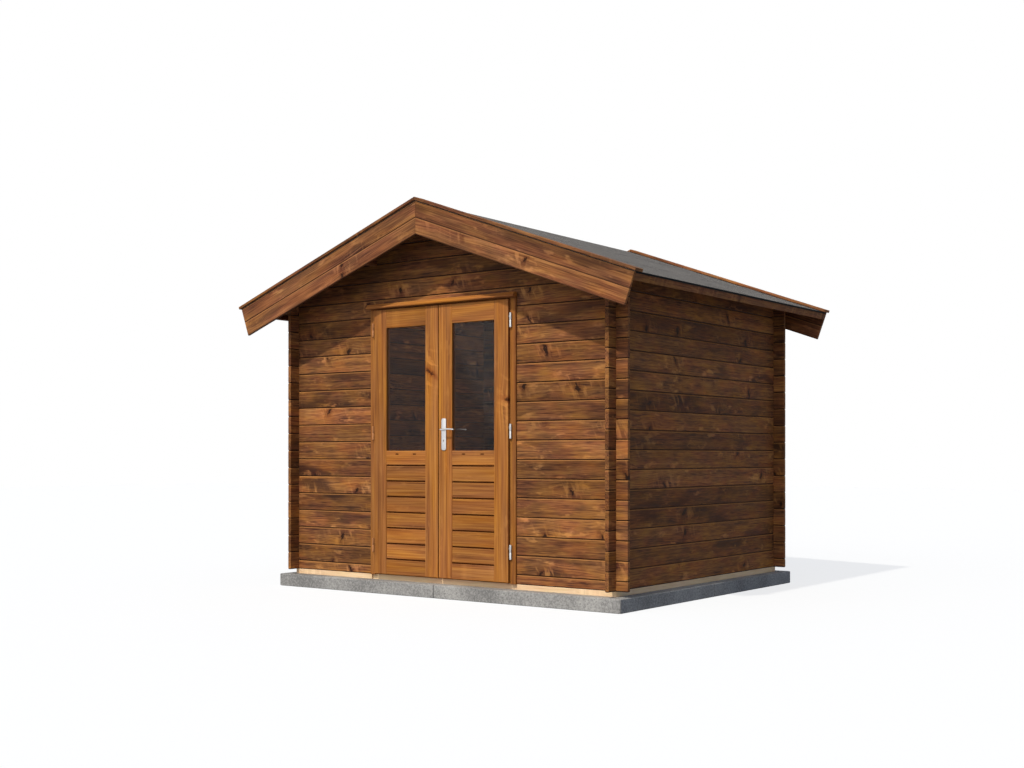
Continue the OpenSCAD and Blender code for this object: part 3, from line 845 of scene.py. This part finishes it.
for name, side in (("roof_felt_left", -1), ("roof_felt_right", 1)):
    bm = bmesh.new()
    place = slope_frame(side, 0.0)
    for strip in (rectangle(LOW_LAP, EAVE, low, mid), lapped(HIGH_LAP, HIGH_LAP, LOW_LAP),
                  lapped(at_ridge(low), at_ridge(mid), HIGH_LAP)):
        extrude(bm, strip, place, -barge_y, barge_y)
    laid = len(bm.faces)
    extrude(bm, rectangle(EAVE, EAVE + FOLD, top - FOLD_DEEP, top), place, -roof_y, roof_y)
    for face in list(bm.faces)[laid:]:
        face.material_index = 1
    settle(name + "_strips", mesh_of(name, bm, felt, dark_felt), "roofing_felt", name)

# %% [markdown]
# ## The look of concrete
# Cast kerbs are grey with slow clouds, sand in the surface and a few small pits. The pits are Voronoi
# cells that only open where the cloud allows it, which keeps them in loose groups.

# %% Concrete finish
concrete, shader, sig = finish_of("cast_concrete")
spot = sig.node("ShaderNodeTexCoord", None, None, "Object")
cloud = spot.grains(3.0, 4.0)
sand = spot.grains(85.0, 3.0)
pits = sig.node("ShaderNodeTexVoronoi", None, {"Vector": spot, "Scale": 55.0}, "Distance")
hole = pits.smooth(0.22, 0.12) * cloud.smooth(0.45, 0.6)
shade = 0.5 + (cloud - 0.5) * 1.2 + (sand - 0.5) * 1.3
colour = shade.ramp((0.2, paint(126, 124, 121)), (0.5, paint(156, 153, 149)), (0.85, paint(184, 181, 175)))
colour = colour.mix(paint(82, 82, 82), hole * 0.7)
bump = sig.node("ShaderNodeBump", None, {"Strength": 0.5, "Distance": 0.002, "Height": sand * 0.5 - hole})
feed(shader, Base_Color=colour, Roughness=0.9, Normal=bump, Specular_IOR_Level=0.2)
print("concrete ready")

# %% [markdown]
# ## The kerbs of the plinth
# Two kerbs lie on each side, with a joint between them, bedded deep inside, and mitred ends at the
# corners. Their edges are worn round, so every edge of each block gets a small bevel.

# %% Plinth
JOINT = 0.002
KERB = 0.200
WORN = 0.005
BED = 0.0018
BED_DROP = 0.008
BED_NEAR = 0.012
BED_FAR = 0.180
out_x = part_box("plinth_right")[1].x
out_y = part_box("plinth_rear")[1].y
kerb_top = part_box("plinth_front")[1].z
in_x = out_x - KERB
in_y = out_y - KERB


def plinth(name, outline, bed, flips):
    """Two kerbs that mirror each other, and the bed between them."""
    bm = bmesh.new()

    def block(shape, flip, top):
        extrude(bm, [(x * flip[0], y * flip[1]) for x, y in shape], FLAT, 0.0, top)

    for flip in flips:
        block(outline, flip, kerb_top)
    bmesh.ops.bevel(bm, geom=bm.edges[:], offset=WORN, segments=2, affect="EDGES", profile=0.5)
    block(bed, flips[0], kerb_top - BED_DROP)
    settle(name + "_kerbs", mesh_of(name, bm, concrete), "concrete", name)


long_kerb = [(JOINT, out_y), (out_x - JOINT, out_y), (in_x - JOINT, in_y), (JOINT, in_y)]
side_kerb = [(out_x, out_y), (out_x, JOINT), (in_x, JOINT), (in_x, in_y)]
long_bed = rectangle(-BED, BED, out_y - BED_FAR, out_y - BED_NEAR)
side_bed = rectangle(out_x - BED_FAR, out_x - BED_NEAR, -BED, BED)
plinth("plinth_front", long_kerb, long_bed, ((1, -1), (-1, -1)))
plinth("plinth_rear", long_kerb, long_bed, ((1, 1), (-1, 1)))
plinth("plinth_left", side_kerb, side_bed, ((-1, 1), (-1, -1)))
plinth("plinth_right", side_kerb, side_bed, ((1, 1), (1, -1)))

# %% [markdown]
# ## The timber base
# Pale base beams, left raw, lie on the kerbs and carry the walls. The front one is set back under the
# door, so that part of it stays in the shade. Joists and narrow floor boards lie between the beams.

# %% Base beams, joists and floor
BEAM = 0.060
SETBACK = 0.014
JOIST = 0.045
JOIST_STEP = 0.450
FLOOR_BOARDS = 25
frame_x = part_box("door_jambs")[1].x
kit = Kit(31)
sill = [(-half_w, -half_d), (-frame_x, -half_d), (-frame_x, SETBACK - half_d), (frame_x, SETBACK - half_d),
        (frame_x, -half_d), (half_w, -half_d), (half_w, BEAM - half_d), (-half_w, BEAM - half_d)]
kit.plank(sill, (Z * kerb_top, X, Y, Z), base_z - kerb_top, FINE)
kit.bar((-half_w, half_d - BEAM, kerb_top), (half_w, half_d, base_z), 0, FINE)
kit.piece("end_beams", raw_wood, "base_beams_ends")
kit = Kit(32)
for x in (-half_w, half_w - BEAM):
    kit.bar((x, BEAM - half_d, kerb_top), (x + BEAM, half_d - BEAM, base_z), 1, FINE)
kit.piece("side_beams_base", raw_wood, "base_beams_sides")

kit = Kit(33)
low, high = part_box("floor_joists")
for i in range(-2, 3):
    x0 = i * JOIST_STEP - JOIST / 2
    kit.bar((x0, low.y, low.z), (x0 + JOIST, high.y, high.z), 1)
kit.piece("joists", raw_wood, "floor_joists")

kit = Kit(34)
low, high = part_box("floor_boards")
width = (high.y - low.y) / FLOOR_BOARDS
for i in range(FLOOR_BOARDS):
    box = rectangle(low.x, high.x, low.y + i * width, low.y + (i + 1) * width)
    kit.plank(box, (Z * low.z, X, Y, Z), high.z - low.z, FINE, 0, True)
kit.piece("floor_laid", raw_wood, "floor_boards")

# %% [markdown]
# ## The door frame
# The jambs and the head grip the wall boards in a groove, so their outlines are a U. A plain strip would
# look the same from the front, but the cheek behind the wall shows through the open door.

# %% Jambs and head
head_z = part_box("door_head")[0].z
rebate_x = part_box("door_stops")[1].x
frame_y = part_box("door_jambs")[0].y
back_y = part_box("door_jambs")[1].y
inner_y = BOARD - half_d

kit = Kit(41, 0.15, 0.05)
for side in (-1, 1):
    outline = [(rebate_x, frame_y), (frame_x, frame_y), (frame_x, -half_d), (opening_x, -half_d),
               (opening_x, inner_y), (frame_x, inner_y), (frame_x, back_y), (rebate_x, back_y)]
    outline = [(side * x, y) for x, y in outline]
    kit.plank(outline, (Z * base_z, X, Y, Z), head_z - base_z, FINE, 2)
kit.piece("jambs", door_wood, "door_jambs")

kit = Kit(42)
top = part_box("door_head")[1].z
outline = [(frame_y, head_z), (back_y, head_z), (back_y, top), (inner_y, top),
           (inner_y, opening_top), (-half_d, opening_top), (-half_d, top), (frame_y, top)]
kit.plank(outline, (X * -frame_x, Y, Z, X), 2 * frame_x, FINE, 2)
kit.piece("head", door_wood, "door_head")

# %% [markdown]
# ## Stops, threshold and drip board
# The leaves close against thin stops behind them. The drip board throws rain clear of the door, so its
# face slopes forward to a thin lip and catches the light.

# %% Stops, threshold, drip board
STOP = 0.020
STOP_GAP = 0.001
DRIP_OUT = 0.020
DRIP_LIP = 0.008
kit = Kit(43)
low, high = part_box("door_stops")
for x in (-rebate_x, rebate_x - STOP):
    kit.bar((x, low.y, base_z), (x + STOP, high.y, head_z - STOP - STOP_GAP), 2, FINE)
kit.bar((-rebate_x, low.y, head_z - STOP), (rebate_x, high.y, head_z), 0, FINE)
kit.piece("stops", door_wood, "door_stops")

kit = Kit(44)
low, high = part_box("door_threshold")
kit.bar(low, high, 0)
kit.piece("threshold", door_wood, "door_threshold")

kit = Kit(45, 0.6)
low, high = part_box("door_drip_board")
lip = low.y - DRIP_OUT
outline = [(lip, low.z), (high.y, low.z), (high.y, high.z), (low.y, high.z), (lip, low.z + DRIP_LIP)]
kit.plank(outline, (X * low.x, Y, Z, X), high.x - low.x, FINE, 2)
kit.piece("drip_strip", door_wood, "door_drip_board")

# %% [markdown]
# ## Stiles and rails of a leaf
# A leaf is two stiles with three rails between them. The stiles are rebated behind the pane only, so
# their section changes on the way up; rings of corners, stacked and joined, make that step. A rail keeps
# one section over its length and is a simple extrusion.

# %% Stiles and rails
leaf_lo, leaf_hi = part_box("right_stiles")
rail_lo, rail_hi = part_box("right_rails")
panel_lo, panel_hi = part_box("right_panel")
fore, aft = leaf_lo.y, leaf_hi.y
glass_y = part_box("right_glass")[0].y
REBATE = 0.010
light_z = (1.006, 1.872)


def stile(kit, side, x_out, x_in):
    """One stile. x_in is its edge on the pane's side."""
    step = x_in + REBATE * (1 if x_out > x_in else -1)
    full = [(x_out, fore), (x_in, fore), (x_in, glass_y), (x_in, aft), (step, aft), (x_out, aft)]
    thin = full[:3] + [(step, glass_y)] + full[4:]
    low, high = light_z[0] - REBATE, light_z[1] + REBATE
    stack = [(leaf_lo.z, full), (low, full), (low, thin), (high, thin), (high, full), (leaf_hi.z, full)]
    bm = bmesh.new()
    skin(bm, [[bm.verts.new((side * x, y, z)) for x, y in ring] for z, ring in stack])
    bmesh.ops.remove_doubles(bm, verts=bm.verts[:], dist=1e-5)
    bmesh.ops.recalc_face_normals(bm, faces=bm.faces[:])
    edges = [e for e in bm.edges if e.is_convex and e.calc_face_angle(0) > 0.5]
    bmesh.ops.bevel(bm, geom=edges, offset=ARRIS, segments=1, affect="EDGES", clamp_overlap=True)
    kit.take(bm, lambda p: (p.x, p.y, p.z), 2, False)


def rail(kit, side, z0, z1, rebate, cut=None):
    """One rail as an outline in Y and Z run between the stiles; rebate is 1 above, -1 below or 0."""
    outline = [(fore, z0), (aft, z0), (aft, z1), (fore, z1)]
    if rebate > 0:
        outline[2:3] = [(aft, z1 - REBATE), (glass_y, z1 - REBATE), (glass_y, z1)]
    if rebate < 0:
        outline[1:2] = [(glass_y, z0), (glass_y, z0 + REBATE), (aft, z0 + REBATE)]
    x0 = min(side * rail_lo.x, side * rail_hi.x)
    kit.plank(outline, (X * x0, Y, Z, X), rail_hi.x - rail_lo.x, ARRIS, 2, cut=cut)


print("leaf", round(leaf_hi.x - leaf_lo.x, 3), "wide and", round(leaf_hi.z - leaf_lo.z, 3), "high")

# %% [markdown]
# ## Cutting holes
# The drain slots and the keyhole are cut with a boolean, because their round ends cross flat faces. The
# function below applies the modifier at once and throws its two objects away.

# %% Boolean cut and slots
def carve(bm, cutter):
    """Takes one closed mesh out of another with a boolean modifier."""
    objects = []
    for source in (bm, cutter):
        objects.append(bpy.data.objects.new("trial", mesh_of("trial", source)))
        scene.collection.objects.link(objects[-1])
    body, tool = objects
    change = body.modifiers.new("cut", "BOOLEAN")
    change.operation = "DIFFERENCE"
    change.solver = "EXACT"
    change.object = tool
    bpy.context.view_layer.update()
    shaped = body.evaluated_get(bpy.context.evaluated_depsgraph_get())
    result = bmesh.new()
    result.from_mesh(shaped.data)
    for obj in objects:
        bpy.data.meshes.remove(obj.data)
    return result


def arcs(centres, r, sweep):
    """An outline of arcs with one radius, each given by its centre and first angle."""
    points = []
    for x, z, first in centres:
        for k in range(7):
            turn = math.radians(first + sweep * k / 6)
            points.append((x + r * math.cos(turn), z + r * math.sin(turn)))
    return points


def slot_outline(x, z, half, r):
    """A slot with round ends about a point, in X and Z."""
    return arcs(((x + half, z, -90), (x - half, z, 90)), r, 180)


DRAIN = 0.0115
DRAIN_R = 0.0045
print("a drain slot has", len(slot_outline(0, 0, DRAIN, DRAIN_R)), "corners")

# %% [markdown]
# ## The two leaves
# Each panel board stands off the next by an open gap with a sheet behind it, and thinner boards close the
# inside. Bare gaps would show a lit sheet, so the sheet and the bottoms of the drain slots are coloured a
# deep brown as painted shade.

# %% Leaf timbers
# Painted shade: a dark brown for the sheet behind the panel gaps and for the floors of the drain slots.
painted_gap_shade = (plain("painted_gap_shade", Base_Color=paint(88, 46, 20), Roughness=0.9, Specular_IOR_Level=0.1),
              "door_timber")
GAP = 0.0092
TIGHT = 0.0005
BEAD_EDGE = 0.001
PANEL_BOARDS = 6
OUTER = 0.013
BACKING = 0.0018
INNER = 0.0068
BACKING_Y = OUTER + HAIR
INNER_Y = BACKING_Y + BACKING + HAIR
DRAIN_X = 0.080
DRAIN_Z = light_z[0] - 0.024
DRAIN_DEEP = 0.012
DRAIN_FLOOR = 0.004
CLEAR = 0.010

for name, side, seed in (("left", -1, 51), ("right", 1, 56)):
    body = name + "_leaf"
    drain_x = [side * (rail_lo.x + rail_hi.x) / 2 + step for step in (-DRAIN_X, DRAIN_X)]
    kit = Kit(seed, 0.75, 0.35 if side < 0 else 0.7)
    stile(kit, side, leaf_lo.x, rail_lo.x)
    stile(kit, side, leaf_hi.x, rail_hi.x)
    kit.piece(name + "_leaf_stiles", door_wood, name + "_stiles", body)

    def drains(bm):
        for x in drain_x:
            outline = slot_outline(x, DRAIN_Z, DRAIN, DRAIN_R)
            bm = carve(bm, prism(outline, (Y * (leaf_lo.y - CLEAR), X, Z, Y), CLEAR + DRAIN_DEEP))
        return bm

    kit = Kit(seed + 1)
    rail(kit, side, leaf_lo.z, panel_lo.z - GAP / 2, 0)
    rail(kit, side, panel_hi.z + GAP / 2, light_z[0], 1, drains)
    rail(kit, side, light_z[1], leaf_hi.z, -1)
    kit.piece(name + "_leaf_rails", door_wood, name + "_rails", body)

    kit = Kit(seed + 2)
    x0, x1 = sorted((side * panel_lo.x, side * panel_hi.x))
    height = (panel_hi.z - panel_lo.z) / PANEL_BOARDS
    for i in range(PANEL_BOARDS):
        z0 = panel_lo.z + i * height
        for deep, thick, gap in ((0.0, OUTER, GAP / 2), (INNER_Y, INNER, TIGHT)):
            box = rectangle(x0, x1, z0 + gap, z0 + height - gap)
            kit.plank(box, (Y * (panel_lo.y + deep), X, Z, Y), thick, GROOVE)
    kit.piece(name + "_leaf_boards", door_wood, name + "_panel", body)

    kit = Kit(seed + 3)
    sheet = panel_lo.y + BACKING_Y
    kit.bar((x0, sheet, panel_lo.z - GAP / 2), (x1, sheet + BACKING, panel_hi.z + GAP / 2), 0, 0.0)
    for x in drain_x:
        outline = slot_outline(x, DRAIN_Z, DRAIN, DRAIN_R - HAIR / 2)
        kit.plank(outline, (Y * (leaf_lo.y + DRAIN_FLOOR), X, Z, Y), DRAIN_DEEP - DRAIN_FLOOR - HAIR, 0.0)
    kit.piece(name + "_leaf_grooves", painted_gap_shade, body=body)

    kit = Kit(seed + 4)
    low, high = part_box(name + "_beads")
    for x in (low.x, high.x - REBATE):
        kit.bar((x, low.y, low.z), (x + REBATE, high.y, high.z), 2, BEAD_EDGE)
    for z in (low.z, high.z - REBATE):
        kit.bar((low.x + REBATE, low.y, z), (high.x - REBATE, high.y, z + REBATE), 0, BEAD_EDGE)
    kit.piece(name + "_leaf_beads", door_wood, name + "_beads", body)

# %% [markdown]
# ## Glass
# A thin pane shows mostly what is behind it, with a faint reflection. The CAD panes have the right shape,
# so they stay and only take a new material: nearly clear by its alpha, with a smooth gloss. Light then
# falls through the pane, which a refracting glass would hold back.

# %% Panes
clear = plain("clear_pane", Base_Color=(0.03, 0.03, 0.03, 1), Roughness=0.03, Alpha=0.17)
for name in ("left_glass", "right_glass"):
    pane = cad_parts[name]
    pane.data.materials.clear()
    pane.data.materials.append(clear)
print("panes glazed")

# %% [markdown]
# ## Silver fittings
# Barrels and levers are round, so rings of points along a path make them. The finish is a satin metal
# with a faint haze in its roughness, because a perfect mirror would only show the white studio.

# %% Satin silver and round bars
silver, shader, sig = finish_of("satin_silver")
spot = sig.node("ShaderNodeTexCoord", None, None, "Object")
haze = spot.grains(60.0)
feed(shader, Base_Color=(0.56, 0.56, 0.57, 1), Metallic=0.9, Roughness=0.42 + (haze - 0.5) * 0.15)
SIDES = 20
CIRCLE = [2 * math.pi * k / SIDES for k in range(SIDES)]


def tube(bm, path):
    """A round bar along a path of (point, radius, direction), closed at both ends."""
    rings = []
    for centre, radius, direction in path:
        turn = direction.to_track_quat("Z", "Y")
        spokes = [turn @ Vector((math.cos(a), math.sin(a), 0)) for a in CIRCLE]
        rings.append([bm.verts.new(centre + spoke * radius) for spoke in spokes])
    skin(bm, rings)


def cast(bm, finish, name, node, body="shed"):
    """Turns a mesh of metal shapes into a piece, smooth where it is round."""
    mesh = mesh_of(name, bm, finish)
    for face in mesh.polygons:
        face.use_smooth = len(face.vertices) == 4
    mesh.set_sharp_from_angle(angle=math.radians(40))
    settle(name, mesh, "door_metal", node, body)


print("satin silver ready")

# %% [markdown]
# ## Hinges
# Each barrel has a lower half on the jamb and an upper half on the leaf, with a hairline between them, and
# a small tab ties each half to its timber. The halves ride different bodies, so the barrel parts when the
# leaf swings. On the left leaf the barrels are coloured like the wood, a painted reflection of the timber
# beside them, and on the right one they are bare.

# %% Hinge barrels
hinge_x = 0.6095
hinge_y = -1.164
levels = (0.336, 1.132, 1.864)
TAB = 0.004
JAMB_TAB = (-0.048, -0.003)
LEAF_TAB = (0.018, 0.032)
LEAF_TAB_Y = (hinge_y + 0.002, hinge_y + 0.005)
HALF_BARREL = ((0.0006, 0.0072), (0.002, 0.008), (0.047, 0.008), (0.049, 0.006))
# Painted reflection: the left barrels take the brown of the wood that they would mirror.
painted_reflection_steel = plain("steel_painted_wood_reflection", Base_Color=paint(176, 116, 66), Metallic=0.25, Roughness=0.5)


def barrel(bm, x, z, way):
    """Half a barrel, up or down from its middle."""
    tube(bm, [(Vector((x, hinge_y, z + way * far)), r, Z) for far, r in HALF_BARREL])


for name, side, finish in (("left", -1, painted_reflection_steel), ("right", 1, silver)):
    x = side * hinge_x
    lower = bmesh.new()
    upper = bmesh.new()
    for z in levels:
        barrel(lower, x, z, -1)
        jamb_tab = rectangle(x - TAB, x + TAB, hinge_y + TAB, frame_y)
        extrude(lower, jamb_tab, FLAT, z + JAMB_TAB[0], z + JAMB_TAB[1])
        barrel(upper, x, z, 1)
        near, far = sorted((side * leaf_hi.x, x - side * TAB))
        extrude(upper, rectangle(near, far, *LEAF_TAB_Y), FLAT, z + LEAF_TAB[0], z + LEAF_TAB[1])
    cast(lower, finish, name + "_hinge_lower", "hinge_pins_" + name)
    cast(upper, finish, name + "_hinge_upper", name + "_knuckles", name + "_leaf")

# %% [markdown]
# ## Handle plates
# A long plate with round ends sits on each face of the right leaf. Its outer edge is rounded over, and
# one cutter makes the keyhole in both plates.

# %% Handle plates
axis_x = 0.0515
lever_z = 1.149
key_z = lever_z - 0.072
KEY_R = 0.004
KEY_SLOT = 0.012
PLATE = 0.008
CORNER = 0.014
RIM = 0.0025
plate_lo, plate_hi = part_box("handle_plates")
x0, x1 = plate_lo.x + CORNER, plate_hi.x - CORNER
z0, z1 = plate_lo.z + CORNER, plate_hi.z - CORNER
outline = arcs(((x1, z1, 0), (x0, z1, 90), (x0, z0, 180), (x1, z0, 270)), CORNER, 90)

bm = bmesh.new()
rims = []
for y, step in ((plate_lo.y, 1), (plate_hi.y, -1)):
    extrude(bm, outline, (Y * y, X, Z, Y * step), 0.0, PLATE)
    rims += [e for e in bm.edges if all(abs(v.co.y - y) < 1e-6 for v in e.verts)]
bmesh.ops.bevel(bm, geom=rims, offset=RIM, segments=3, affect="EDGES", profile=0.5)
key_slot = rectangle(axis_x - KEY_R / 2, axis_x + KEY_R / 2, key_z - KEY_SLOT, key_z)
for hole in (slot_outline(axis_x, key_z, HAIR / 2, KEY_R), key_slot):
    through = plate_hi.y - plate_lo.y + 2 * CLEAR
    bm = carve(bm, prism(hole, (Y * (plate_lo.y - CLEAR), X, Z, Y), through))
cast(bm, silver, "lever_plates", "handle_plates", "right_leaf")

# %% [markdown]
# ## Levers
# The lever is one bent bar: it leaves the plate as a neck, turns in a tight bend and runs along the leaf
# with a slight bow. A path with a direction at each point sweeps it, and both levers share a spindle.

# %% Levers
ARM = 0.042
BEND = 0.012
THIN = 0.0055
REACH = 0.116
BOW = 0.003
TAPER = 0.0006
SPINDLE = 0.004
INSET = 0.002
NECK = ((0.0, 0.0088), (0.004, 0.0088), (0.006, 0.0065), (ARM - BEND, 0.006))
TIP = ((0.1195, 0.0040), (0.1212, 0.0020))
bm = bmesh.new()
for y, step in ((plate_lo.y, -1), (plate_hi.y, 1)):
    foot = Vector((axis_x, y, lever_z))
    out = Y * step
    path = [(foot + out * far, r, out) for far, r in NECK]
    for k in range(1, 6):
        turn = math.radians(18 * k)
        centre = foot + out * (ARM - BEND + BEND * math.sin(turn)) + X * (BEND * (1 - math.cos(turn)))
        path.append((centre, THIN, out * math.cos(turn) + X * math.sin(turn)))
    for k in range(1, 9):
        along = BEND + (REACH - BEND) * k / 8
        rise = BOW * math.sin(math.pi * k / 8)
        path.append((foot + out * ARM + X * along + Z * rise, THIN - TAPER * k / 8, X))
    path += [(foot + out * ARM + X * along, r, X) for along, r in TIP]
    tube(bm, path)
spindle = (plate_lo.y + INSET, plate_hi.y - INSET)
tube(bm, [(Vector((axis_x, y, lever_z)), SPINDLE, Y) for y in spindle])
cast(bm, silver, "levers", "handle_levers", "handle")
